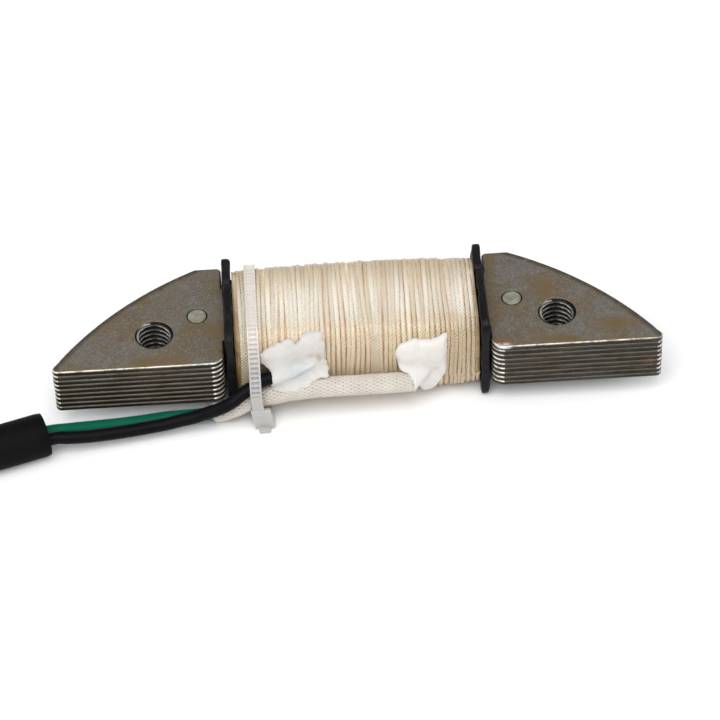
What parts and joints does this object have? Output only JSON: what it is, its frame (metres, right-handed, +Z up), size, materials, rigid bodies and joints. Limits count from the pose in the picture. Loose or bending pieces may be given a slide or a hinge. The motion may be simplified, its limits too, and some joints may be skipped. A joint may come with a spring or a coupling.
{
  "type": "ignition coil",
  "caption": "Source coil with a laminated two-pole core, a thread-covered winding on a split bobbin, and two leads in a sheath",
  "frame": {"origin": "on the surface that the coil lies on, under the middle of the coil's own box, leads left out", "axes": "+X along the coil from the end with the leads to the other pole, +Y from the straight front of the poles to their arched rear, +Z up, across the stack"},
  "size_m": [0.2059, 0.0365, 0.0172],
  "materials": {
    "core_steel": "oiled punched steel, gold-brown stains",
    "rivet_steel": "dull pale grey",
    "bobbin_nylon": "satin black",
    "enamelled_copper": "enamelled copper",
    "amber_film": "clear amber",
    "varnished_thread": "cream thread under varnish",
    "glass_braid": "off-white braid",
    "silicone": "satin white",
    "tie_nylon": "milky natural nylon",
    "black_lead_pvc": "satin black",
    "green_lead_pvc": "satin green",
    "sheath_pvc": "satin black",
    "terminal_brass": "bright",
    "clear_pvc": "clear",
    "solder": "bright"
  },
  "bodies": {
    "root": {"black_bullet_terminal": "terminal_brass", "black_lead": "black_lead_pvc", "black_lead_tail": "black_lead_pvc", "black_terminal_boot": "clear_pvc", "bobbin_front": "bobbin_nylon", "bobbin_rear": "bobbin_nylon", "braided_sleeve": "glass_braid", "cable_tie": "tie_nylon", "finish_splice": "solder", "finish_wire": "enamelled_copper", "green_bullet_terminal": "terminal_brass", "green_lead": "green_lead_pvc", "green_lead_tail": "green_lead_pvc", "green_terminal_boot": "clear_pvc", "insulating_film": "amber_film", "lamination_1": "core_steel", "lamination_2": "core_steel", "lamination_3": "core_steel", "lamination_4": "core_steel", "lamination_5": "core_steel", "lamination_6": "core_steel", "lamination_7": "core_steel", "lamination_8": "core_steel", "lamination_9": "core_steel", "lead_sheath": "sheath_pvc", "magnet_wire_winding": "enamelled_copper", "rivet_left": "rivet_steel", "rivet_right": "rivet_steel", "silicone_left": "silicone", "silicone_right": "silicone", "start_splice": "solder", "start_wire": "enamelled_copper", "thread_cover": "varnished_thread"}
  },
  "joints": []
}
